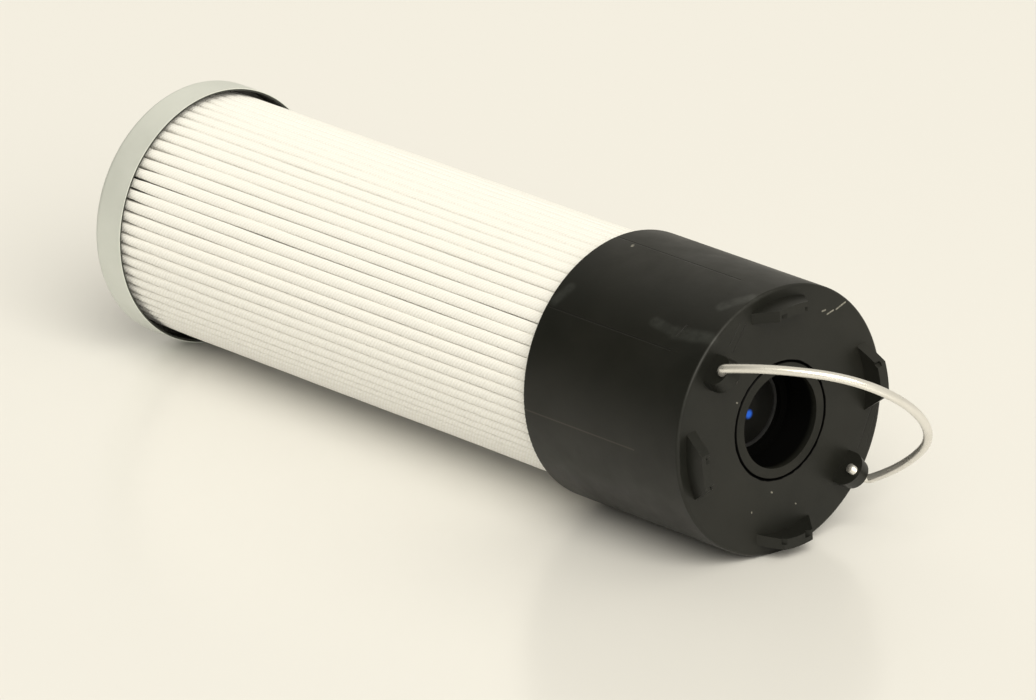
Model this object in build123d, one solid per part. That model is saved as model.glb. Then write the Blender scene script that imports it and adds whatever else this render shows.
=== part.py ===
from build123d import *
from math import cos, degrees, pi, radians, sin, sqrt
import os

# Return-line filter element with a by-pass valve and a wire lifting bail. Millimetres, +Z up.
# It stands on its pressed steel end cap: the origin is at the middle of that cap's underside.
# The bail's two ears lie on the X axis.

# ---- overall
element_height = 282.0        # underside of the end cap to the front face of the moulded cap
cap_diameter = 88.0           # moulded cap, outside
skirt_length = 71.0           # front face to the skirt's open edge

# ---- moulded cap
skirt_wall = 2.2
face_thickness = 3.5
cap_edge_radius = 1.0
skirt_lip_radius = 0.6
rib_count = 8                 # inner ribs of the skirt and webs under the face
rib_width = 1.6
rib_height = 0.6
web_thickness = 2.0
web_depth = 11.5              # webs below the face plate
rib_setback = 1.0             # skirt's open edge to the end of a rib
moulded_overlap = 0.5         # how far a web, rib or lug runs into the wall that carries it
hub_wall = 3.0
hub_length = 24.0             # front face to the hub's lower end
hub_ledge_width = 1.9
hub_ledge_thickness = 2.0

# ---- locating lugs on the front face, angles from the bail's axis
lug_nose_angle = 31.5         # where the ramp by the ear begins
lug_span = 34.0
lug_ramp_span = 8.0           # each end rises over this angle
lug_inset = 3.7               # cap's edge to the lug's outer wall
lug_thickness = 3.5
lug_height = 7.2
lug_nose_notch_angle = 42.5   # two small notches in the lug's inner top edge
lug_tail_notch_angle = 57.5
lug_notch_width = 2.4
lug_notch_depth = 1.5
lug_notch_reach = 1.8         # how far a notch runs in from the inner wall

# ---- ears for the bail
ear_inset = 5.0               # cap's edge to the ear's outer face
ear_thickness = 4.8
ear_radius = 5.7
ear_draft = 0.8               # how much smaller the ear is at its outer face
ear_centre_height = 2.8
ear_root = 1.5                # foot of the ear inside the face plate
pivot_height = 5.6            # bail axis above the front face

# ---- bail
bail_wire = 3.0
bail_rise = 43.9              # pivot axis to the top of the loop, on the wire's centre line
bail_crown_radius = 34.8      # the loop's crown; two flatter arcs run from it to the ears
bail_crown_angle = 53.4       # degrees of the crown's arc to each side of its top
bail_bend_radius = 2.1
bail_tail = 1.8               # wire end that stands out of the ear's inner face
bail_lean = 24.0              # degrees from upright, towards -Y
pivot_clearance = 0.15
bail_side_clearance = 0.9

# ---- pleat pack
skirt_clearance = 1.0         # pleat tips to the skirt's inner wall
pleat_depth = 15.6
pleat_count = 66
sheet_thickness = 0.9
pleat_tip_radius = 1.5

# ---- perforated core
core_clearance = 0.3
core_wall = 0.8
core_hole_diameter = 8.0
core_hole_rows = 12
core_holes_round = 6
core_plain_end = 14.0

# ---- pressed end cap and outlet
end_cap_clearance = 1.7       # pleat tips to the rim's inner wall
end_cap_height = 13.2
sheet_steel = 0.9
end_cap_corner = 2.4
outlet_diameter = 34.0
outlet_collar_height = 10.0
outlet_mouth_radius = 0.8
seal_wall = 2.4
seal_flange = 1.2
seal_inset = 1.2
bead_radius = 30.0
bead_width = 7.0
bead_depth = 0.8

# ---- resin and inner end disc
potting_thickness = 3.6
disc_thickness = 1.5

# ---- by-pass valve
bush_diameter = 38.0
bore_diameter = 31.2
bore_depth = 13.3             # front face to the valve seat
seat_width = 2.6
seat_thickness = 2.0
bush_clearance = 0.35         # the narrow ring gap round the bush
bush_chamfer = 0.3            # on both edges of that gap at the front face
o_ring_section = 2.3
o_ring_lift = 2.0             # groove's middle above the middle of the seat
o_ring_side_gap = 0.1
poppet_thickness = 2.4
poppet_clearance = 1.2
poppet_seal_thickness = 0.6
poppet_seal_inset = 0.2       # poppet's edge to the washer's edge
poppet_seal_lap = 1.0         # washer reaches this far inside the seat's opening
poppet_boss_radius = 4.0
poppet_boss_height = 1.2
stem_diameter = 6.0
stem_overhang = 2.0
cage_depth = 26.0             # cage flange to the cage's underside
cage_wall = 1.6
cage_flange_thickness = 2.0
cage_floor = 3.0
cage_clearance = 0.2
spring_clearance = 1.0        # spring to the cage's wall
window_count = 4
window_width = 50.0           # degrees
window_margin = 4.0           # hub's lower end to the top of a window
window_sill = 1.0             # cage floor to the foot of a window
spring_wire = 2.0
spring_turns = 5
spring_perch = 1.6

seat_gap = 0.1                # between round parts that sit in one another

# ---- places worked out from the sizes above
cap_radius = cap_diameter / 2
skirt_inner_radius = cap_radius - skirt_wall
skirt_bottom = element_height - skirt_length
face_underside = element_height - face_thickness
web_bottom = face_underside - web_depth
hub_bottom = element_height - hub_length
bush_radius = bush_diameter / 2
hub_inner_radius = bush_radius + bush_clearance
hub_outer_radius = hub_inner_radius + hub_wall
bore_radius = bore_diameter / 2

disc_top = web_bottom
disc_bottom = disc_top - disc_thickness
top_potting_bottom = disc_bottom - potting_thickness
bottom_potting_top = sheet_steel + potting_thickness
pleat_radius = skirt_inner_radius - skirt_clearance
pleat_inner_radius = pleat_radius - pleat_depth
core_radius = pleat_inner_radius - core_clearance

outlet_radius = outlet_diameter / 2
end_cap_radius = pleat_radius + end_cap_clearance + sheet_steel

ledge_top = hub_bottom + hub_ledge_thickness
bush_bottom = ledge_top + cage_flange_thickness
seat_top = element_height - bore_depth
seat_bottom = seat_top - seat_thickness
cage_radius = hub_inner_radius - hub_ledge_width - cage_clearance
cage_bottom = ledge_top - cage_depth
cage_floor_top = cage_bottom + cage_floor
poppet_radius = bore_radius - poppet_clearance
poppet_top = seat_bottom - poppet_seal_thickness
poppet_bottom = poppet_top - poppet_thickness
spring_radius = cage_radius - cage_wall - spring_wire / 2 - spring_clearance

lug_outer_radius = cap_radius - lug_inset
lug_inner_radius = lug_outer_radius - lug_thickness
ear_outer_face = cap_radius - ear_inset
ear_inner_face = ear_outer_face - ear_thickness
bail_half_width = ear_outer_face + bail_side_clearance + bail_wire / 2
pivot_z = element_height + pivot_height


def ring(outer, inner, bottom, top):
    """Plain ring round the element's axis."""
    profile = Pos((outer + inner) / 2, (bottom + top) / 2) * Rectangle(outer - inner, top - bottom)
    return revolve(Plane.XZ * profile, Axis.Z)


def turned(points):
    """Solid of revolution from an outline of (radius, height) points."""
    return revolve(Plane.XZ * make_face(Polyline(*points, close=True)), Axis.Z)


def bottom_end_cap():
    """Pressed steel cup: a rim round the pleats, a drawn outlet collar and one stiffening bead."""
    t = sheet_steel
    collar = outlet_radius + t
    bead_in = bead_radius - bead_width / 2
    bead_out = bead_radius + bead_width / 2
    outline = [
        (outlet_radius, 0), (bead_in, 0), (bead_in + bead_depth, bead_depth),
        (bead_out - bead_depth, bead_depth), (bead_out, 0), (end_cap_radius, 0),
        (end_cap_radius, end_cap_height), (end_cap_radius - t, end_cap_height),
        (end_cap_radius - t, t), (bead_out + t / 2, t), (bead_out - bead_depth + t / 2, t + bead_depth),
        (bead_in + bead_depth - t / 2, t + bead_depth), (bead_in - t / 2, t), (collar, t),
        (collar, outlet_collar_height), (outlet_radius, outlet_collar_height),
    ]
    sheet = make_face(Polyline(*outline, close=True))
    outside = sheet.vertices().sort_by_distance(Vertex(end_cap_radius, 0))[0]
    sheet = fillet(outside, end_cap_corner)
    inside = sheet.vertices().sort_by_distance(Vertex(end_cap_radius - t, t))[0]
    sheet = fillet(inside, end_cap_corner - t)
    mouth = sheet.vertices().sort_by_distance(Vertex(outlet_radius, 0))[0]
    sheet = fillet(mouth, outlet_mouth_radius)
    return revolve(Plane.XZ * sheet, Axis.Z)


def outlet_seal():
    """Rubber grommet in the outlet collar; its flange lies on the collar's upper edge."""
    outer = outlet_radius - seat_gap
    inner = outlet_radius - seal_wall
    flange = outlet_radius + sheet_steel
    top = outlet_collar_height + seal_flange
    return turned([
        (inner, seal_inset), (outer, seal_inset), (outer, outlet_collar_height),
        (flange, outlet_collar_height), (flange, top), (inner, top),
    ])


def bottom_potting():
    """Resin between the end cap's floor and the ends of the pleats and core."""
    outer = end_cap_radius - sheet_steel - seat_gap
    inner = outlet_radius + sheet_steel + seat_gap
    base = bead_depth + sheet_steel
    body = ring(outer - end_cap_corner, inner, base, bottom_potting_top)
    return body + ring(outer, outer - end_cap_corner, sheet_steel + end_cap_corner, bottom_potting_top)


def core_tube():
    """Perforated steel tube that carries the pleats against the flow."""
    tube = ring(core_radius, core_radius - core_wall, bottom_potting_top, top_potting_bottom)
    first = bottom_potting_top + core_plain_end
    last = top_potting_bottom - core_plain_end
    pitch = (last - first) / (core_hole_rows - 1)
    punch = Rot(0, 90, 0) * extrude(Circle(core_hole_diameter / 2), core_radius + core_wall)
    holes = []
    for row in range(core_hole_rows):
        for place in range(core_holes_round):
            turn = 360 / core_holes_round * (place + row % 2 / 2)
            holes.append(Pos(0, 0, first + row * pitch) * Rot(0, 0, turn) * punch)
    return tube - holes


def pleat_pack():
    """One sheet folded to and fro into a closed ring of round-tipped pleats."""
    t = sheet_thickness
    half_pitch = pi / pleat_count
    tip_place = pleat_radius - pleat_tip_radius
    fold_place = pleat_inner_radius + t
    tip = Vector(tip_place, 0)
    fold = Vector(fold_place * cos(half_pitch), fold_place * sin(half_pitch))
    along = (fold - tip).normalized()
    across = Vector(-along.Y, along.X)
    if across.X < 0:
        across = across * -1
    lean = pleat_tip_radius / (fold - tip).length
    normal = along * lean + across * sqrt(1 - lean * lean)

    def at(point, turn):
        return Vector(point.X, point.Y).rotate(Axis.Z, degrees(turn))

    def mirrored(point):
        return Vector(point.X, -point.Y)

    outer_flank = tip + normal * pleat_tip_radius
    inner_flank = tip + normal * (pleat_tip_radius - t)
    tip_top = Vector(pleat_radius, 0)
    tip_under = Vector(pleat_radius - t, 0)
    fold_flank = fold - normal * t
    fold_top = Vector(pleat_inner_radius * cos(half_pitch), pleat_inner_radius * sin(half_pitch))
    outside = []
    inside = []
    for pleat in range(pleat_count):
        turn = 2 * half_pitch * pleat
        ahead = turn + 2 * half_pitch
        outside += [
            ThreePointArc(at(mirrored(outer_flank), turn), at(tip_top, turn), at(outer_flank, turn)),
            Line(at(outer_flank, turn), at(fold, turn)),
            Line(at(fold, turn), at(mirrored(outer_flank), ahead)),
        ]
        inside += [
            ThreePointArc(at(mirrored(inner_flank), turn), at(tip_under, turn), at(inner_flank, turn)),
            Line(at(inner_flank, turn), at(fold_flank, turn)),
            ThreePointArc(at(fold_flank, turn), at(fold_top, turn), at(mirrored(fold_flank), ahead)),
            Line(at(mirrored(fold_flank), ahead), at(mirrored(inner_flank), ahead)),
        ]
    section = make_face(outside) - make_face(inside)
    return extrude(Pos(0, 0, bottom_potting_top) * section, top_potting_bottom - bottom_potting_top)


def top_potting():
    """Resin between the pleats' upper ends and the inner end disc."""
    outer = skirt_inner_radius - rib_height - seat_gap
    return ring(outer, hub_outer_radius + seat_gap, top_potting_bottom, disc_bottom)


def top_end_disc():
    """Steel disc bonded to the pack, pushed up against the webs of the moulded cap."""
    outer = skirt_inner_radius - rib_height - seat_gap
    return ring(outer, hub_outer_radius + seat_gap, disc_bottom, disc_top)


def lug(side_x, side_y):
    """Arc-shaped lug with a ramp at each end and two V notches in its inner top edge."""
    middle_radius = (lug_outer_radius + lug_inner_radius) / 2
    middle_angle = lug_nose_angle + lug_span / 2
    tail_angle = lug_nose_angle + lug_span

    def along(angle):
        return middle_radius * sin(radians(middle_angle - angle))

    side = Polyline(
        (along(lug_nose_angle), -moulded_overlap), (along(lug_nose_angle), 0),
        (along(lug_nose_angle + lug_ramp_span), lug_height),
        (along(tail_angle - lug_ramp_span), lug_height),
        (along(tail_angle), 0), (along(tail_angle), -moulded_overlap), close=True,
    )
    place = Rot(0, 0, middle_angle - 90) * Pos(0, middle_radius, element_height)
    block = place * extrude(Plane.XZ * make_face(side), 2 * lug_thickness, both=True)
    top = element_height + lug_height
    body = block & ring(lug_outer_radius, lug_inner_radius, element_height - moulded_overlap, top)
    notched = ring(lug_inner_radius + lug_notch_reach, lug_inner_radius - lug_thickness, element_height,
                   top + lug_notch_depth)
    for angle in (lug_nose_notch_angle, lug_tail_notch_angle):
        middle = along(angle)
        wedge = Polyline(
            (middle, lug_height - lug_notch_depth), (middle + lug_notch_width / 2, lug_height),
            (middle + lug_notch_width / 2, lug_height + lug_notch_depth),
            (middle - lug_notch_width / 2, lug_height + lug_notch_depth),
            (middle - lug_notch_width / 2, lug_height), close=True,
        )
        cutter = place * extrude(Plane.XZ * make_face(wedge), 2 * lug_thickness, both=True)
        body -= cutter & notched
    if side_y < 0:
        body = mirror(body, Plane.XZ)
    if side_x < 0:
        body = mirror(body, Plane.YZ)
    return body


def ear(side_x):
    """Round-headed ear with the bail's hole, a little smaller at its outer face."""

    def head(distance, radius):
        plane = Plane(origin=(distance, 0, element_height), x_dir=(0, 1, 0), z_dir=(1, 0, 0))
        crown = ThreePointArc(
            (radius, ear_centre_height), (0, ear_centre_height + radius), (-radius, ear_centre_height))
        foot = Polyline(crown @ 1, (-radius, -ear_root), (radius, -ear_root), crown @ 0)
        return plane * make_face([crown, foot])

    body = loft([head(ear_inner_face, ear_radius), head(ear_outer_face, ear_radius - ear_draft)])
    hole = Pos(ear_inner_face, 0, pivot_z) * Rot(0, 90, 0) * Circle(bail_wire / 2 + pivot_clearance)
    body -= extrude(hole, ear_thickness)
    if side_x < 0:
        body = mirror(body, Plane.YZ)
    return body


def cap_housing():
    """Moulded cap: skirt, face, hub for the valve, inner ribs and webs, lugs and ears in one piece."""
    outline = Polyline(
        (skirt_inner_radius, skirt_bottom), (cap_radius, skirt_bottom), (cap_radius, element_height),
        (hub_inner_radius + bush_chamfer, element_height), (hub_inner_radius, element_height - bush_chamfer),
        (hub_inner_radius, ledge_top),
        (hub_inner_radius - hub_ledge_width, ledge_top), (hub_inner_radius - hub_ledge_width, hub_bottom),
        (hub_outer_radius, hub_bottom), (hub_outer_radius, face_underside),
        (skirt_inner_radius, face_underside), close=True,
    )
    section = make_face(outline)
    rim = section.vertices().sort_by_distance(Vertex(cap_radius, element_height))[0]
    section = fillet(rim, cap_edge_radius)
    lip = section.vertices().sort_by_distance(Vertex(cap_radius, skirt_bottom))[0]
    section = fillet(lip, skirt_lip_radius)
    body = revolve(Plane.XZ * section, Axis.Z)
    web_length = skirt_inner_radius - hub_outer_radius + 2 * moulded_overlap
    web = Pos((skirt_inner_radius + hub_outer_radius) / 2, 0,
              (web_bottom + face_underside + moulded_overlap) / 2) * Box(
        web_length, web_thickness, web_depth + moulded_overlap)
    rib_bottom = skirt_bottom + rib_setback
    rib = Pos(skirt_inner_radius + (moulded_overlap - rib_height) / 2, 0, (rib_bottom + web_bottom) / 2) * Box(
        rib_height + moulded_overlap, rib_width, web_bottom - rib_bottom)
    for place in range(rib_count):
        turn = Rot(0, 0, 360 / rib_count * place)
        body += turn * web
        body += turn * rib
    for side_x in (1, -1):
        body += ear(side_x)
        for side_y in (1, -1):
            body += lug(side_x, side_y)
    return body


def valve_bush():
    """Flush ring with the by-pass bore, the valve seat and a groove for its O-ring."""
    groove_middle = (seat_bottom + seat_top) / 2 + o_ring_lift
    groove_half = o_ring_section / 2 + o_ring_side_gap
    groove_radius = hub_inner_radius - seat_gap - o_ring_section
    return turned([
        (bore_radius, bush_bottom), (bush_radius, bush_bottom), (bush_radius, groove_middle - groove_half),
        (groove_radius, groove_middle - groove_half), (groove_radius, groove_middle + groove_half),
        (bush_radius, groove_middle + groove_half), (bush_radius, element_height - bush_chamfer),
        (bush_radius - bush_chamfer, element_height), (bore_radius, element_height), (bore_radius, seat_top), (bore_radius - seat_width, seat_top),
        (bore_radius - seat_width, seat_bottom), (bore_radius, seat_bottom),
    ])


def bush_o_ring():
    """Rubber ring in the bush's groove."""
    middle_radius = hub_inner_radius - seat_gap - o_ring_section / 2
    section = Pos(middle_radius, (seat_bottom + seat_top) / 2 + o_ring_lift) * Circle(o_ring_section / 2)
    return revolve(Plane.XZ * section, Axis.Z)


def spring_cage():
    """Moulded cage below the bush: flange on the hub's ledge, windows for the oil, stem guide."""
    inner = cage_radius - cage_wall
    body = ring(bush_radius, inner, ledge_top, bush_bottom)
    body += ring(cage_radius, inner, cage_bottom, ledge_top)
    body += ring(cage_radius, stem_diameter / 2 + cage_clearance, cage_bottom, cage_floor_top)
    perch = spring_radius - spring_wire / 2 - seat_gap
    body += ring(perch, stem_diameter / 2 + cage_clearance, cage_floor_top, cage_floor_top + spring_perch)
    low = cage_floor_top + window_sill
    high = hub_bottom - window_margin
    span = 2 * cage_radius * sin(radians(window_width / 2))
    window = Pos(cage_radius, 0, (low + high) / 2) * Box(6 * cage_wall, span, high - low)
    for place in range(window_count):
        body -= Rot(0, 0, 360 / window_count * (place + 1 / 2)) * window
    return body


def bypass_poppet():
    """Valve disc with a guide stem; the spring sits round the perch on its underside."""
    body = ring(poppet_radius, 0, poppet_bottom, poppet_top)
    body += ring(poppet_boss_radius, 0, poppet_top, poppet_top + poppet_boss_height)
    body += ring(spring_radius - spring_wire / 2 - seat_gap, 0, poppet_bottom - spring_perch, poppet_bottom)
    body += ring(stem_diameter / 2, 0, cage_bottom - stem_overhang, poppet_bottom)
    return body


def poppet_seal():
    """Flat rubber washer between the poppet and the seat."""
    return ring(poppet_radius - poppet_seal_inset, bore_radius - seat_width - poppet_seal_lap, poppet_top,
                seat_bottom)


def bypass_spring():
    """Compression spring from the cage's floor to the poppet."""
    bottom = cage_floor_top + spring_wire / 2
    height = poppet_bottom - cage_floor_top - spring_wire
    path = Pos(0, 0, bottom) * Helix(pitch=height / spring_turns, height=height, radius=spring_radius)
    section = Plane(origin=path @ 0, z_dir=path % 0) * Circle(spring_wire / 2)
    return sweep(section, path=path)


def bail():
    """Round wire bent to a loop of three touching arcs, its two ends turned in through the ears."""
    reach = bail_half_width
    start = (ear_inner_face - bail_tail, 0)
    turn = radians(bail_crown_angle)
    joint_x = bail_crown_radius * sin(turn)
    joint_rise = bail_rise - bail_crown_radius * (1 - cos(turn))
    crown = ThreePointArc((joint_x, joint_rise), (0, bail_rise), (-joint_x, joint_rise))
    right = TangentArc((joint_x, joint_rise), (reach, 0), tangent=(cos(turn), -sin(turn)))
    left = TangentArc((-joint_x, joint_rise), (-reach, 0), tangent=(-cos(turn), -sin(turn)))
    path = Wire([Line(start, (reach, 0)), right, crown, left, Line((-reach, 0), (-start[0], 0))])
    corners = [v for v in path.vertices() if abs(abs(v.X) - reach) < bail_bend_radius and v.Y < bail_wire]
    path = path.fillet_2d(bail_bend_radius, corners)
    upright = Plane(origin=(0, 0, 0), x_dir=(1, 0, 0), z_dir=(0, -1, 0))
    path = upright * path
    section = Plane(origin=path @ 0, z_dir=path % 0) * Circle(bail_wire / 2)
    wire = sweep(section, path=path)
    return Pos(0, 0, pivot_z) * Rot(bail_lean, 0, 0) * wire


pieces = {
    "bottom_end_cap": bottom_end_cap,
    "outlet_seal": outlet_seal,
    "bottom_potting": bottom_potting,
    "core_tube": core_tube,
    "pleat_pack": pleat_pack,
    "top_potting": top_potting,
    "top_end_disc": top_end_disc,
    "cap_housing": cap_housing,
    "valve_bush": valve_bush,
    "bush_o_ring": bush_o_ring,
    "spring_cage": spring_cage,
    "bypass_poppet": bypass_poppet,
    "poppet_seal": poppet_seal,
    "bypass_spring": bypass_spring,
    "bail": bail,
}

os.makedirs("parts", exist_ok=True)
for node, make in pieces.items():
    export_step(make(), os.path.join("parts", node + ".step"))
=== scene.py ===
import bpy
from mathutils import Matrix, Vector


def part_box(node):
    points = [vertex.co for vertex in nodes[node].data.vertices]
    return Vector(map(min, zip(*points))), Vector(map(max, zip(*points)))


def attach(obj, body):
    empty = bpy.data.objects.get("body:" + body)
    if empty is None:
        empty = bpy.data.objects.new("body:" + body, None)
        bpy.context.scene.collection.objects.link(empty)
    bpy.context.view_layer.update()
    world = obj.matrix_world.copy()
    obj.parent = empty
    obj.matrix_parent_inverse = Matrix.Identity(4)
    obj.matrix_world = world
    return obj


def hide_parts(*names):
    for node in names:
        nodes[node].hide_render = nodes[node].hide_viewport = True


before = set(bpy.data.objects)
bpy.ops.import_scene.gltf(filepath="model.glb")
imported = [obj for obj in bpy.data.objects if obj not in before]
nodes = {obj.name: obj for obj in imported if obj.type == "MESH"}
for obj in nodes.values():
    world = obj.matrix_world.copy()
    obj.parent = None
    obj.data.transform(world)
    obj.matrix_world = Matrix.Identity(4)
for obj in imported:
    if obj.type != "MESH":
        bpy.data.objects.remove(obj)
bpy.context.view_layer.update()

import math

import bpy
import numpy as np
from mathutils import Quaternion, Vector

render = bpy.context.scene


# ---------------------------------------------------------------- steel end cap
# A shallow cup pressed from zinc-plated sheet, with a rolled edge on its floor and an outlet collar
# drawn from its middle. The pleats stand in it in cast resin.

def blank_material(name):
    """An empty node material: returns its node tree, its surface shader and itself."""
    material = bpy.data.materials.new(name)
    material.use_nodes = True
    tree = material.node_tree
    return tree, tree.nodes["Principled BSDF"], material


def grain(tree, size, detail=3.0):
    """Noise whose spots are about size metres across."""
    where = tree.nodes.new("ShaderNodeTexCoord")
    place = tree.nodes.new("ShaderNodeMapping")
    place.inputs["Scale"].default_value = (1.0 / size, 1.0 / size, 1.0 / size)
    noise = tree.nodes.new("ShaderNodeTexNoise")
    noise.inputs["Scale"].default_value = 1.0
    noise.inputs["Detail"].default_value = detail
    noise.inputs["Roughness"].default_value = 0.55
    tree.links.new(where.outputs["Object"], place.inputs["Vector"])
    tree.links.new(place.outputs["Vector"], noise.inputs["Vector"])
    return noise.outputs["Fac"]


def shades(tree, value, *stops):
    """Turns a 0 to 1 value into colours, given as (place, (r, g, b)) stops."""
    ramp = tree.nodes.new("ShaderNodeValToRGB")
    band = ramp.color_ramp
    while len(band.elements) < len(stops):
        band.elements.new(0.5)
    for element, (at, colour) in zip(band.elements, stops):
        element.position = at
        element.color = (*colour, 1.0)
    tree.links.new(value, ramp.inputs["Fac"])
    return ramp.outputs["Color"]


def spread(tree, value, low, high):
    """Stretches a noise value, which mostly lies between 0.3 and 0.7, to run from low to high."""
    fit = tree.nodes.new("ShaderNodeMapRange")
    fit.inputs["From Min"].default_value = 0.3
    fit.inputs["From Max"].default_value = 0.7
    fit.inputs["To Min"].default_value = low
    fit.inputs["To Max"].default_value = high
    tree.links.new(value, fit.inputs["Value"])
    return fit.outputs["Result"]


def relief(tree, shader, height, depth, strength):
    """Raises the surface by the height value times depth metres, as a bump."""
    bump = tree.nodes.new("ShaderNodeBump")
    bump.inputs["Strength"].default_value = strength
    bump.inputs["Distance"].default_value = depth
    tree.links.new(height, bump.inputs["Height"])
    tree.links.new(bump.outputs["Normal"], shader.inputs["Normal"])


def dress(material, *names):
    """Gives CAD nodes this material in place of their plain one."""
    for name in names:
        mesh = nodes[name].data
        for index in range(len(mesh.materials)):
            mesh.materials[index] = material


def calc(tree, operation, *values):
    """One arithmetic step on numbers or sockets."""
    node = tree.nodes.new("ShaderNodeMath")
    node.operation = operation
    for socket, value in zip(node.inputs, values):
        if isinstance(value, (int, float)):
            socket.default_value = value
        else:
            tree.links.new(value, socket)
    return node.outputs["Value"]


def fade(tree, value, empty, full):
    """A soft mask: 0 where the value is at empty, 1 where it is at full."""
    step = tree.nodes.new("ShaderNodeMapRange")
    step.interpolation_type = "SMOOTHSTEP"
    step.inputs["From Min"].default_value = empty
    step.inputs["From Max"].default_value = full
    tree.links.new(value, step.inputs["Value"])
    return step.outputs["Result"]


def mix(tree, mask, under, over):
    """Lays one colour over another where the mask is 1."""
    blend = tree.nodes.new("ShaderNodeMix")
    blend.data_type = "RGBA"
    tree.links.new(mask, blend.inputs["Factor"])
    for socket, colour in ((blend.inputs["A"], under), (blend.inputs["B"], over)):
        if isinstance(colour, tuple):
            socket.default_value = (*colour, 1.0)
        else:
            tree.links.new(colour, socket)
    return blend.outputs["Result"]


def polar(tree):
    """Distance from the element's axis, and height, of the point being shaded."""
    where = tree.nodes.new("ShaderNodeTexCoord")
    parts = tree.nodes.new("ShaderNodeSeparateXYZ")
    tree.links.new(where.outputs["Object"], parts.inputs["Vector"])
    square = [calc(tree, "MULTIPLY", parts.outputs[axis], parts.outputs[axis]) for axis in ("X", "Y")]
    return calc(tree, "SQRT", calc(tree, "ADD", *square)), parts.outputs["Z"]


rim_edge = 0.0432  # inner edge of the rim: inside it, above the floor, the wall is painted near black as painted shade for the narrow gap between rim and pleats
tree, shader, zinc = blank_material("zinc_plate")
plate = shades(tree, grain(tree, 0.02, 4.0), (0.3, (0.66, 0.69, 0.65)), (0.7, (0.72, 0.745, 0.71)))
away, above = polar(tree)
# Painted shade: the rim's inner wall above the floor is painted near black for the shade in the gap between
# rim and pleats.
inside_rim = fade(tree, away, rim_edge, rim_edge - 0.0002)
above_floor = fade(tree, above, 0.001, 0.002)
painted_gap_shade = calc(tree, "MULTIPLY", inside_rim, above_floor)
tree.links.new(mix(tree, painted_gap_shade, plate, (0.03, 0.032, 0.027)), shader.inputs["Base Color"])
tree.links.new(spread(tree, grain(tree, 0.004, 3.0), 0.42, 0.54), shader.inputs["Roughness"])
shader.inputs["Metallic"].default_value = 0.25
relief(tree, shader, grain(tree, 0.0012, 2.0), 0.00003, 0.5)
dress(zinc, "bottom_end_cap", "top_end_disc")

# ---------------------------------------------------------------- outlet seal and resin
# A moulded rubber seal sits in the outlet collar, and the two rubber rings of the valve are of the same
# stock. Dark resin is cast round both ends of the pleats.
tree, shader, rubber = blank_material("seal_rubber")
tree.links.new(shades(tree, grain(tree, 0.006), (0.3, (0.012, 0.012, 0.013)), (0.7, (0.022, 0.022, 0.022))),
               shader.inputs["Base Color"])
tree.links.new(spread(tree, grain(tree, 0.002), 0.5, 0.65), shader.inputs["Roughness"])
dress(rubber, "outlet_seal", "bush_o_ring", "poppet_seal")

tree, shader, resin = blank_material("cast_resin")
tree.links.new(shades(tree, grain(tree, 0.01), (0.3, (0.035, 0.034, 0.028)), (0.7, (0.06, 0.058, 0.05))),
               shader.inputs["Base Color"])
tree.links.new(spread(tree, grain(tree, 0.003), 0.25, 0.4), shader.inputs["Roughness"])
dress(resin, "bottom_potting", "top_potting")

# ---------------------------------------------------------------- core tube
# A rolled and perforated steel tube inside the pleats, which keeps them from being pushed in by the flow.
# Its holes are in the solid, so only its finish is given here.
tree, shader, core_steel = blank_material("core_plate")
tree.links.new(shades(tree, grain(tree, 0.03), (0.3, (0.48, 0.48, 0.46)), (0.7, (0.58, 0.58, 0.56))),
               shader.inputs["Base Color"])
tree.links.new(spread(tree, grain(tree, 0.004), 0.3, 0.45), shader.inputs["Roughness"])
shader.inputs["Metallic"].default_value = 0.85
dress(core_steel, "core_tube")

# ---------------------------------------------------------------- pleats
# One long sheet of glass fleece between two fine support nets, folded to and fro into a ring of pleats.
# The nets are woven on the bias, so their wires cross the folds at a slant.
folds = 66
pack_low, pack_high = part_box("pleat_pack")
pack_bottom = pack_low[2]
pack_top = pack_high[2]
pack_radius = pack_high[0]
fold_depth = 0.0156
sheet = 0.0009
tip_bend = 0.00138  # middle line of the sheet over a tip
tip_flat = 0.6  # how far a tip still stands out once pressed, as a share of its round shape
root_bend = 0.00055
pinch = 0.2  # share of their width that the tips lose inside the steel cap
pinch_reach = 0.005
tip_inset = 0.0001  # draws the tips in, so that their swell stays within the pack's radius
tip_bias = 1.5  # above 1 the sway gathers at the tips
crown = pack_radius - tip_flat * (tip_bend + sheet / 2)
rng = np.random.default_rng(66)


def fold_line(tip_steps, flank_steps, root_steps):
    """Middle line of one fold from root to root, across x = radius: an arc over the tip, the straight line
    that touches it and the root arc from between them, and half a root arc at each end.
    Returns its points and its outward normals."""
    half = math.pi / folds
    tip = np.array([crown, 0.0])
    root_at = pack_radius - fold_depth + sheet / 2 + root_bend
    root = root_at * np.array([math.cos(half), math.sin(half)])
    gap = root - tip
    along = math.atan2(gap[1], gap[0])
    lean = along - math.acos((tip_bend + root_bend) / math.hypot(*gap))
    touch = np.array([math.cos(lean), math.sin(lean)])
    turn = np.linspace(0.0, lean, tip_steps)
    tip_normals = np.stack([np.cos(turn), np.sin(turn)], 1)
    tip_points = tip + tip_bend * tip_normals
    share = np.linspace(0.0, 1.0, flank_steps + 2)[1:-1, None]
    flank_points = tip_points[-1] * (1 - share) + (root - root_bend * touch) * share
    flank_normals = np.repeat(touch[None], flank_steps, 0)
    turn = np.linspace(lean, half, root_steps)
    root_normals = np.stack([np.cos(turn), np.sin(turn)], 1)
    root_points = root - root_bend * root_normals
    points = np.concatenate([tip_points, flank_points, root_points])
    normals = np.concatenate([tip_normals, flank_normals, root_normals])
    mirror = np.array([1.0, -1.0])
    return (np.concatenate([points[:0:-1] * mirror, points]),
            np.concatenate([normals[:0:-1] * mirror, normals]))


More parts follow.
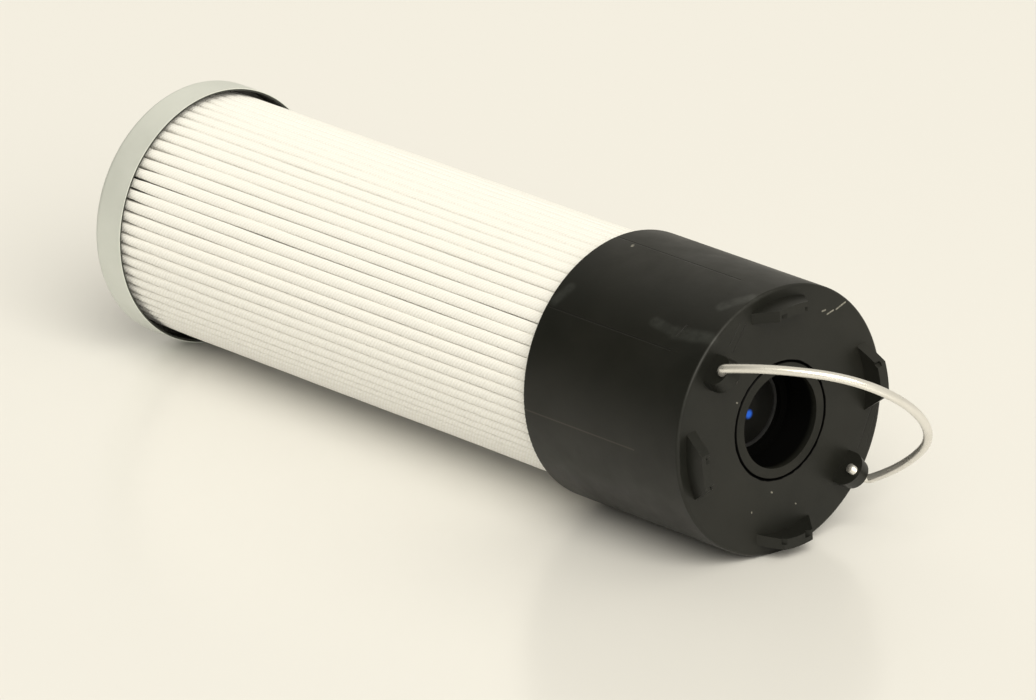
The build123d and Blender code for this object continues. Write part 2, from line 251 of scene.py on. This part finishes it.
def around(points, normals, side):
    """Repeats one fold all the way round, shifted by half a sheet to one side and with its round tip pressed
    flatter, as a closed ring of points."""
    points = points + side * normals * sheet / 2
    beyond = points[:, 0] > crown
    points[beyond, 0] = crown + tip_flat * (points[beyond, 0] - crown)
    ring = []
    for fold in range(folds):
        angle = 2 * math.pi * fold / folds
        spin = np.array([[math.cos(angle), math.sin(angle)], [-math.sin(angle), math.cos(angle)]])
        ring.append(points[:-1] @ spin)
    return np.concatenate(ring)


def grid_mesh(name, points, uv=None, lids=False):
    """A mesh from a grid of points, rows by columns by 3, closed round its columns, and at its first and last
    row if asked. uv is rows by columns + 1 by 2, so the last faces don't run back over the whole sheet."""
    rows, columns = points.shape[:2]
    number = np.arange(rows * columns).reshape(rows, columns)
    right = np.roll(number, -1, axis=1)
    faces = np.stack([number[:-1], right[:-1], right[1:], number[1:]], -1).reshape(-1, 4).tolist()
    if lids:
        faces += [number[0, ::-1].tolist(), number[-1].tolist()]
    mesh = bpy.data.meshes.new(name)
    mesh.from_pydata(points.reshape(-1, 3), [], faces)
    if uv is not None:
        corner = np.stack([uv[:-1, :-1], uv[:-1, 1:], uv[1:, 1:], uv[1:, :-1]], 2)
        layer = mesh.uv_layers.new(name="sheet")
        layer.data.foreach_set("uv", corner.reshape(-1).astype(np.float32))
    mesh.polygons.foreach_set("use_smooth", np.ones(len(mesh.polygons), bool))
    mesh.update()
    return mesh


def waver(size):
    """A slow random drift along the height for each fold, rows by folds: three sines of random phase, whose
    weights add up to 1, times size metres."""
    height = np.linspace(0.0, 1.0, rows)[:, None]
    total = np.zeros((rows, folds))
    for waves, weight in ((1.3, 0.5), (3.1, 0.3), (6.7, 0.2)):
        phase = rng.uniform(0, 2 * math.pi, folds)
        total += weight * np.sin(2 * math.pi * waves * height + phase)
    return size * total


rows = 60
row_crowding = 1.6  # above 1 the rows stand closer near the steel cap, where the folds change width
outer = around(*fold_line(7, 2, 3), 1)
inner = around(*fold_line(3, 1, 2), -1)
height = pack_bottom + (pack_top - pack_bottom) * np.linspace(0.0, 1.0, rows) ** row_crowding
drift = waver(0.00013)
swell = waver(0.00010)


def stand_up(ring):
    """Carries the ring up the pack. Each fold's tip sways by its drift and swell while its root stands still,
    and in the steel cap the tips are pinched, opening to full width a little above its rim."""
    radius = np.hypot(ring[:, 0], ring[:, 1])
    angle = np.arctan2(ring[:, 1], ring[:, 0])
    fold = np.round(angle / (2 * math.pi) * folds).astype(int) % folds
    depth = np.clip((radius - (pack_radius - fold_depth)) / fold_depth, 0, 1) ** tip_bias
    middle_angle = np.round(angle / (2 * math.pi) * folds) * 2 * math.pi / folds
    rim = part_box("bottom_end_cap")[1][2]
    narrow = pinch * np.exp(-np.clip(height[:, None] - rim, 0, None) / pinch_reach)
    width = (angle - middle_angle) * (1 - narrow * depth)
    turned = middle_angle + width + drift[:, fold] * depth / pack_radius
    reach = radius[None] + (swell[:, fold] - tip_inset) * depth
    up = np.repeat(height[:, None], len(ring), 1)
    return np.stack([reach * np.cos(turned), reach * np.sin(turned), up], -1)


def sheet_face(name, ring):
    """One face of the sheet as an object. Its UV is in metres: distance along the folded ring, and height."""
    step = np.linalg.norm(np.roll(ring, -1, 0) - ring, axis=1)
    along_sheet = np.concatenate([[0.0], np.cumsum(step)])
    uv = np.stack(np.broadcast_arrays(along_sheet[None], height[:, None]), -1)
    piece = bpy.data.objects.new(name, grid_mesh(name, stand_up(ring), uv))
    render.collection.objects.link(piece)
    return piece


pleats = sheet_face("pleats", outer)
backing = sheet_face("pleat_backing", inner)
backing.data.flip_normals()

net_pitch = 0.0011
net_slant = 39
bands_per_unit = 2 * math.pi / 20  # the wave texture's scale that gives one band to a unit


def strands(tree, pitch, slant):
    """Ridges of the net, 0 to 1: bands pitch metres apart, turned by slant degrees from across the fold."""
    where = tree.nodes.new("ShaderNodeTexCoord")
    place = tree.nodes.new("ShaderNodeMapping")
    place.inputs["Rotation"].default_value = (0, 0, math.radians(slant))
    place.inputs["Scale"].default_value = (1 / pitch, 1 / pitch, 1)
    wave = tree.nodes.new("ShaderNodeTexWave")
    wave.bands_direction = "Y"
    wave.inputs["Scale"].default_value = bands_per_unit
    wave.inputs["Distortion"].default_value = 1.2
    wave.inputs["Detail"].default_value = 1.0
    wave.inputs["Detail Scale"].default_value = 0.8
    tree.links.new(where.outputs["UV"], place.inputs["Vector"])
    tree.links.new(place.outputs["Vector"], wave.inputs["Vector"])
    return wave.outputs["Fac"]


tree, shader, fleece = blank_material("netted_fleece")
strong = calc(tree, "MULTIPLY", strands(tree, net_pitch, net_slant), 0.75)
faint = calc(tree, "MULTIPLY", strands(tree, net_pitch, -net_slant), 0.25)
net = calc(tree, "ADD", strong, faint)
# The net's strands are a real pattern with a bump; their ridges are also painted paler as a painted
# highlight.
tree.links.new(shades(tree, net, (0.1, (0.91, 0.90, 0.855)), (0.7, (0.96, 0.955, 0.935))),
               shader.inputs["Base Color"])
shader.inputs["Roughness"].default_value = 0.85
shader.inputs["Specular IOR Level"].default_value = 0.2
relief(tree, shader, net, 0.0001, 1.0)
for part in (pleats, backing):
    part.data.materials.append(fleece)
    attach(part, "element")
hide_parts("pleat_pack")
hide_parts("pleat_pack")

# ---------------------------------------------------------------- black cap
# One moulding of black plastic: skirt, face, four lugs, two ears and the hub. Its thin marks have no depth of
# their own, so they are strokes in the material, each given by radius, angle and height of its two ends.

def stroke(tree, start, end, width):
    """A mask that is 1 on the straight line between two points and fades out at width from it."""
    start, end = Vector(start), Vector(end)
    where = tree.nodes.new("ShaderNodeTexCoord")
    from_start = tree.nodes.new("ShaderNodeVectorMath")
    from_start.operation = "SUBTRACT"
    tree.links.new(where.outputs["Object"], from_start.inputs[0])
    from_start.inputs[1].default_value = start
    share = tree.nodes.new("ShaderNodeVectorMath")
    share.operation = "DOT_PRODUCT"
    tree.links.new(from_start.outputs["Vector"], share.inputs[0])
    never_zero = 1e-12  # a dot starts and ends at one point
    share.inputs[1].default_value = (end - start) / max((end - start).length_squared, never_zero)
    held = calc(tree, "MINIMUM", calc(tree, "MAXIMUM", share.outputs["Value"], 0.0), 1.0)
    nearest = tree.nodes.new("ShaderNodeVectorMath")
    nearest.operation = "SCALE"
    nearest.inputs[0].default_value = end - start
    tree.links.new(held, nearest.inputs["Scale"])
    gap = tree.nodes.new("ShaderNodeVectorMath")
    gap.operation = "DISTANCE"
    tree.links.new(from_start.outputs["Vector"], gap.inputs[0])
    tree.links.new(nearest.outputs["Vector"], gap.inputs[1])
    return fade(tree, gap.outputs["Value"], width, width * 0.3)


def strokes(tree, marks):
    """The strongest of several strokes, each given as radius, angle and height of both ends, and width."""
    total = 0.0
    for radius, angle, z, radius_b, angle_b, z_b, width in marks:
        ends = [(r * math.cos(math.radians(a)), r * math.sin(math.radians(a)), h)
                for r, a, h in ((radius, angle, z), (radius_b, angle_b, z_b))]
        total = calc(tree, "MAXIMUM", stroke(tree, *ends, width), total)
    return total


face = 0.282
wall = 0.044
skirt_end = 0.211
sink_lines = [(wall, 45 * web, skirt_end, wall, 45 * web, 0.268, 0.0004) for web in (0, 2, 3, 4, 5, 6, 7)]
painted_highlight_line = [(wall, 45, skirt_end, wall, 45, 0.262, 0.0004)]
face_lines = [(0.0343, -14.1, face, 0.0384, -27.1, face, 0.00045),
              (0.0403, -147.4, face, 0.0383, -168.1, face, 0.00045),
              (0.0372, -14.1, face, 0.0402, -24.5, face, 0.0003),
              (0.0428, -147.5, face, 0.0412, -166.5, face, 0.0003),
              (wall, -6.5, 0.2675, wall, -12.5, 0.2685, 0.0003)]
scuffs = [(0.0365, -79.8, face, 0.0372, -81.5, face, 0.0004),
          (0.0363, -83.9, face, 0.0384, -86.6, face, 0.00035),
          (0.0392, -88.1, face, 0.0427, -91.1, face, 0.0004),
          (0.0212, 10.3, face, 0.0215, 10.3, face, 0.0004),
          (0.0232, 120.1, face, 0.0234, 121.1, face, 0.0004),
          (0.0300, 142.3, face, 0.0303, 142.7, face, 0.0003),
          (0.0300, 105.5, face, 0.0303, 105.8, face, 0.0003),
          (wall, -43.1, 0.2206, wall, -42.1, 0.2210, 0.0007)]
smears_and_sheen = [(wall, -26.4, 0.2746, wall, -36.5, 0.2800, 0.0030),
          (wall, -9.0, 0.2554, wall, -7.5, 0.2660, 0.0024),
          (wall, -7.5, 0.2660, wall, -10.1, 0.2802, 0.0032),
          (wall, -3.2, 0.2134, wall, -10.1, 0.2160, 0.0028)]
ring_gap = 0.0192  # radius of the joint round the bush, whose shade is painted in
joint_shade_colour = (0.0005, 0.0005, 0.0005)
black_tones = ((0.3, (0.0075, 0.008, 0.0062)), (0.7, (0.0125, 0.0125, 0.0098)))

tree, shader, moulding = blank_material("black_moulding")
black = shades(tree, grain(tree, 0.03, 4.0), *black_tones)
# The smears are glossier patches, and they are also painted paler as a painted sheen where they catch the
# light.
gloss_and_sheen = calc(tree, "MULTIPLY", strokes(tree, smears_and_sheen), spread(tree, grain(tree, 0.004, 4.0), 0.2, 1.0))
black = mix(tree, gloss_and_sheen, black, (0.032, 0.034, 0.031))
# The sink lines and face lines are fine grooves. They are also painted darker as painted shade in the
# grooves.
groove_lines_and_shade = strokes(tree, sink_lines + face_lines)
black = mix(tree, calc(tree, "MULTIPLY", groove_lines_and_shade, 0.6), black, (0.003, 0.003, 0.002))
# Painted highlight: the sink line at 45 degrees has no groove and is only painted paler where it catches the
# light.
black = mix(tree, calc(tree, "MULTIPLY", strokes(tree, painted_highlight_line), 0.6), black, (0.05, 0.044, 0.036))
rubbed = calc(tree, "MULTIPLY", strokes(tree, scuffs), spread(tree, grain(tree, 0.0008, 2.0), 0.3, 1.0))
black = mix(tree, rubbed, black, (0.30, 0.29, 0.25))
away, above = polar(tree)
# Painted shade: a ragged band along the joint round the bush is painted near black, with less shine, for the
# shade in the gap.
off_gap = calc(tree, "ABSOLUTE", calc(tree, "SUBTRACT", away, ring_gap))
ragged = calc(tree, "ADD", off_gap, spread(tree, grain(tree, 0.003, 3.0), -0.0001, 0.0002))
near_face = fade(tree, above, face - 0.002, face - 0.001)
joint_shade = calc(tree, "MULTIPLY", fade(tree, ragged, 0.00065, 0.0004), near_face)
black = mix(tree, joint_shade, black, joint_shade_colour)
tree.links.new(black, shader.inputs["Base Color"])
rough = spread(tree, grain(tree, 0.012, 5.0), 0.40, 0.52)
rough = calc(tree, "SUBTRACT", rough, calc(tree, "MULTIPLY", gloss_and_sheen, 0.18))
tree.links.new(calc(tree, "ADD", rough, calc(tree, "MULTIPLY", joint_shade, 0.5)), shader.inputs["Roughness"])
shine = calc(tree, "SUBTRACT", 0.3, calc(tree, "MULTIPLY", joint_shade, 0.26))
tree.links.new(shine, shader.inputs["Specular IOR Level"])
height_map = calc(tree, "SUBTRACT", calc(tree, "MULTIPLY", grain(tree, 0.0009, 2.0), 0.12), groove_lines_and_shade)
relief(tree, shader, height_map, 0.00015, 0.8)
dress(moulding, "cap_housing")

tree, shader, bush_black = blank_material("bush_moulding")
black = shades(tree, grain(tree, 0.01, 4.0), *black_tones)
away, above = polar(tree)
near_face = fade(tree, above, face - 0.002, face - 0.001)
# Painted shade: the bush's edge at the joint is painted near black, with less shine, for the shade in the
# gap.
joint_shade = calc(tree, "MULTIPLY", fade(tree, away, ring_gap - 0.0006, ring_gap - 0.0004), near_face)
black = mix(tree, joint_shade, black, joint_shade_colour)
# Painted shade: the bore's wall below the face is painted near black, with less shine, for the shade deep in
# the bore.
in_bore = fade(tree, away, 0.0159, 0.0157)
below_face = fade(tree, above, face - 0.0006, face - 0.003)
inside = calc(tree, "MULTIPLY", in_bore, below_face)
dark = calc(tree, "MAXIMUM", joint_shade, inside)
black = mix(tree, inside, black, (0.002, 0.002, 0.0018))
tree.links.new(black, shader.inputs["Base Color"])
tree.links.new(spread(tree, grain(tree, 0.006, 4.0), 0.40, 0.52), shader.inputs["Roughness"])
shine = calc(tree, "SUBTRACT", 0.24, calc(tree, "MULTIPLY", dark, 0.2))
tree.links.new(shine, shader.inputs["Specular IOR Level"])
relief(tree, shader, grain(tree, 0.0009, 2.0), 0.00002, 0.5)
dress(bush_black, "valve_bush")

# ---------------------------------------------------------------- valve
# The by-pass valve below the bush: a bright spring in its cage and a black poppet, with a dab of blue paint
# on the boss of the poppet.
tree, shader, spring_wire = blank_material("spring_wire")
tree.links.new(shades(tree, grain(tree, 0.004), (0.3, (0.45, 0.45, 0.44)), (0.7, (0.55, 0.55, 0.54))),
               shader.inputs["Base Color"])
shader.inputs["Metallic"].default_value = 1.0
shader.inputs["Roughness"].default_value = 0.3
dress(spring_wire, "bypass_spring", "spring_cage")

dot = (0.0020, 141.0, 0.2673)
dot_reach = 0.0019
tree, shader, poppet_black = blank_material("poppet_moulding")
black = shades(tree, grain(tree, 0.01, 4.0), (0.3, (0.004, 0.004, 0.0035)), (0.7, (0.007, 0.007, 0.006)))
paint = strokes(tree, [(*dot, *dot, dot_reach)])
tree.links.new(mix(tree, paint, black, (0.03, 0.17, 0.95)), shader.inputs["Base Color"])
tree.links.new(spread(tree, grain(tree, 0.006, 4.0), 0.42, 0.55), shader.inputs["Roughness"])
shader.inputs["Specular IOR Level"].default_value = 0.2
dress(poppet_black, "bypass_poppet")

# ---------------------------------------------------------------- bail
# A loop of round wire, drawn again here as one smooth tube: a crown, a flatter arc down each side, a tight
# bend and a straight tail through the ear. It leans back on its pivots.
wire = 0.00149  # radius, a hair under the solid's, so that the tube stays within its box
tail_end = 0.0324
side = 0.0414
rise = 0.0439
crown_radius = 0.0348
crown_turn = math.radians(53.4)
bend = 0.0021
pivot_height = 0.2876
lean_back = math.radians(24)
arc_steps = 40
bend_steps = 16
wire_sides = 24


def half_loop():
    """Middle line of half the bail from its top to its tail, across and up from the pivots: the crown's arc,
    the arc that leaves it smoothly and would end at the pivots' level, the bend that touches it and the
    straight tail. Returns its points and its outward normals."""
    turn = np.linspace(0.0, crown_turn, arc_steps)
    crown_normals = np.stack([np.sin(turn), np.cos(turn)], 1)
    crown_points = [0.0, rise - crown_radius] + crown_radius * crown_normals
    joint, outward = crown_points[-1], crown_normals[-1]
    chord = np.array([side, 0.0]) - joint
    side_radius = -chord @ chord / (2 * chord @ outward)
    centre = joint - side_radius * outward
    reach = math.sqrt((side_radius - bend) ** 2 - (bend - centre[1]) ** 2)
    bend_centre = np.array([centre[0] + reach, bend])
    leave = math.atan2(*(bend_centre - centre))
    turn = np.linspace(crown_turn, leave, arc_steps)[1:]
    side_normals = np.stack([np.sin(turn), np.cos(turn)], 1)
    turn = np.linspace(leave, math.pi, bend_steps)[1:]
    bend_normals = np.stack([np.sin(turn), np.cos(turn)], 1)
    tail_points = np.array([[tail_end, 0.0]])
    points = np.concatenate([crown_points, centre + side_radius * side_normals,
                             bend_centre + bend * bend_normals, tail_points])
    normals = np.concatenate([crown_normals, side_normals, bend_normals, bend_normals[-1:]])
    return points, normals


def whole_tube():
    """The half loop and its mirror image, with a circle of the wire's radius drawn round each point, partly
    along the normal and partly out of the loop's plane. The plane then leans back about the pivots."""
    points, normals = half_loop()
    mirror = np.array([-1.0, 1.0])
    points = np.concatenate([points[:0:-1] * mirror, points])
    normals = np.concatenate([normals[:0:-1] * mirror, normals])
    turn = np.linspace(0, 2 * math.pi, wire_sides, endpoint=False)
    across = points[:, :1] + wire * normals[:, :1] * np.cos(turn)
    climb = points[:, 1:] + wire * normals[:, 1:] * np.cos(turn)
    out_of_plane = np.broadcast_to(wire * np.sin(turn), across.shape)
    back = out_of_plane * math.cos(lean_back) - climb * math.sin(lean_back)
    up = pivot_height + out_of_plane * math.sin(lean_back) + climb * math.cos(lean_back)
    return np.stack([across, back, up], -1)


loop = bpy.data.objects.new("bail_loop", grid_mesh("bail_loop", whole_tube(), lids=True))
loop.data.flip_normals()
render.collection.objects.link(loop)

tree, shader, bright_wire = blank_material("bright_wire")
steel = shades(tree, grain(tree, 0.012), (0.3, (0.72, 0.70, 0.65)), (0.7, (0.80, 0.78, 0.74)))
where = tree.nodes.new("ShaderNodeTexCoord")
parts = tree.nodes.new("ShaderNodeSeparateXYZ")
tree.links.new(where.outputs["Object"], parts.inputs["Vector"])
# Painted shade: on one side, the tail where it sits in its ear is painted dark for the shade there.
past_ear = fade(tree, parts.outputs["X"], 0.0350, 0.0345)
before_end = fade(tree, parts.outputs["X"], 0.030, 0.031)
tail = calc(tree, "MULTIPLY", past_ear, before_end)
tail = calc(tree, "MULTIPLY", tail, fade(tree, parts.outputs["Z"], 0.2905, 0.2895))
tree.links.new(mix(tree, tail, steel, (0.03, 0.028, 0.022)), shader.inputs["Base Color"])
shader.inputs["Metallic"].default_value = 0.75
tree.links.new(spread(tree, grain(tree, 0.012), 0.24, 0.30), shader.inputs["Roughness"])
loop.data.materials.append(bright_wire)
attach(loop, "bail")
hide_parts("bail")

# ---------------------------------------------------------------- table, light and camera
# The element lies on its side on a pale table, so the table stands against the side of the upright frame.
up = Vector((0.631, -0.776, 0.0)).normalized()
right = Vector((-0.574, -0.468, 0.672)).normalized()
near = right.cross(up).normalized()
middle = Vector((0, 0, 0.15))
table_drop = 0.0441  # the cap's radius and a hair more
half_table = 7.0
contact = middle - up * table_drop
corners = [contact + right * (a * half_table) + near * (b * half_table)
           for a, b in ((-1, -1), (1, -1), (1, 1), (-1, 1))]
table_mesh = bpy.data.meshes.new("table")
table_mesh.from_pydata([tuple(c) for c in corners], [], [(0, 1, 2, 3)])
table_mesh.update()
table_mesh.flip_normals()
table = bpy.data.objects.new("table", table_mesh)
render.collection.objects.link(table)
tree, shader, table_top = blank_material("table_top")
shader.inputs["Base Color"].default_value = (0.87, 0.865, 0.85, 1)
shader.inputs["Roughness"].default_value = 0.22
# Seen from below the table is clear, so that it never hides the element.
clear = tree.nodes.new("ShaderNodeBsdfTransparent")
pick = tree.nodes.new("ShaderNodeMixShader")
sides = tree.nodes.new("ShaderNodeNewGeometry")
tree.links.new(sides.outputs["Backfacing"], pick.inputs["Fac"])
tree.links.new(shader.outputs["BSDF"], pick.inputs[1])
tree.links.new(clear.outputs["BSDF"], pick.inputs[2])
tree.links.new(pick.outputs["Shader"], tree.nodes["Material Output"].inputs["Surface"])
table.data.materials.append(table_top)

warm_white = (1.0, 0.955, 0.84)
flag_colour = (0.08, 0.078, 0.065)
world = bpy.data.worlds.new("studio")
world.use_nodes = True
render.world = world
tree = world.node_tree
where = tree.nodes.new("ShaderNodeTexCoord")
facing = tree.nodes.new("ShaderNodeVectorMath")
facing.operation = "DOT_PRODUCT"
facing.inputs[1].default_value = (up * 0.30 - right * 0.95).normalized()
tree.links.new(where.outputs["Object"], facing.inputs[0])
flag = fade(tree, facing.outputs["Value"], 0.5, 0.88)
sky = tree.nodes["Background"]
tree.links.new(mix(tree, flag, warm_white, flag_colour), sky.inputs["Color"])
sky.inputs["Strength"].default_value = 0.68

sunlight = bpy.data.lights.new("window", "SUN")
sunlight.angle = math.radians(50)
sunlight.energy = 2.8
sunlight.color = warm_white
window = bpy.data.objects.new("window", sunlight)
toward_window = right * 0.25 + near + up * 0.8
window.matrix_world = toward_window.to_track_quat("Z", "Y").to_matrix().to_4x4()
render.collection.objects.link(window)

camera_data = bpy.data.cameras.new("camera")
camera_data.sensor_width = 36.0
camera_data.lens = 334.224
camera_data.clip_start = 0.1
camera_data.clip_end = 50.0
camera = bpy.data.objects.new("camera", camera_data)
camera.rotation_mode = "QUATERNION"
camera.location = (2.15969, 0.44272, 2.31513)
camera.rotation_quaternion = Quaternion((0.2507687, -0.3872173, 0.0298264, -0.8867289))
render.collection.objects.link(camera)
render.camera = camera
render.view_settings.view_transform = "Standard"
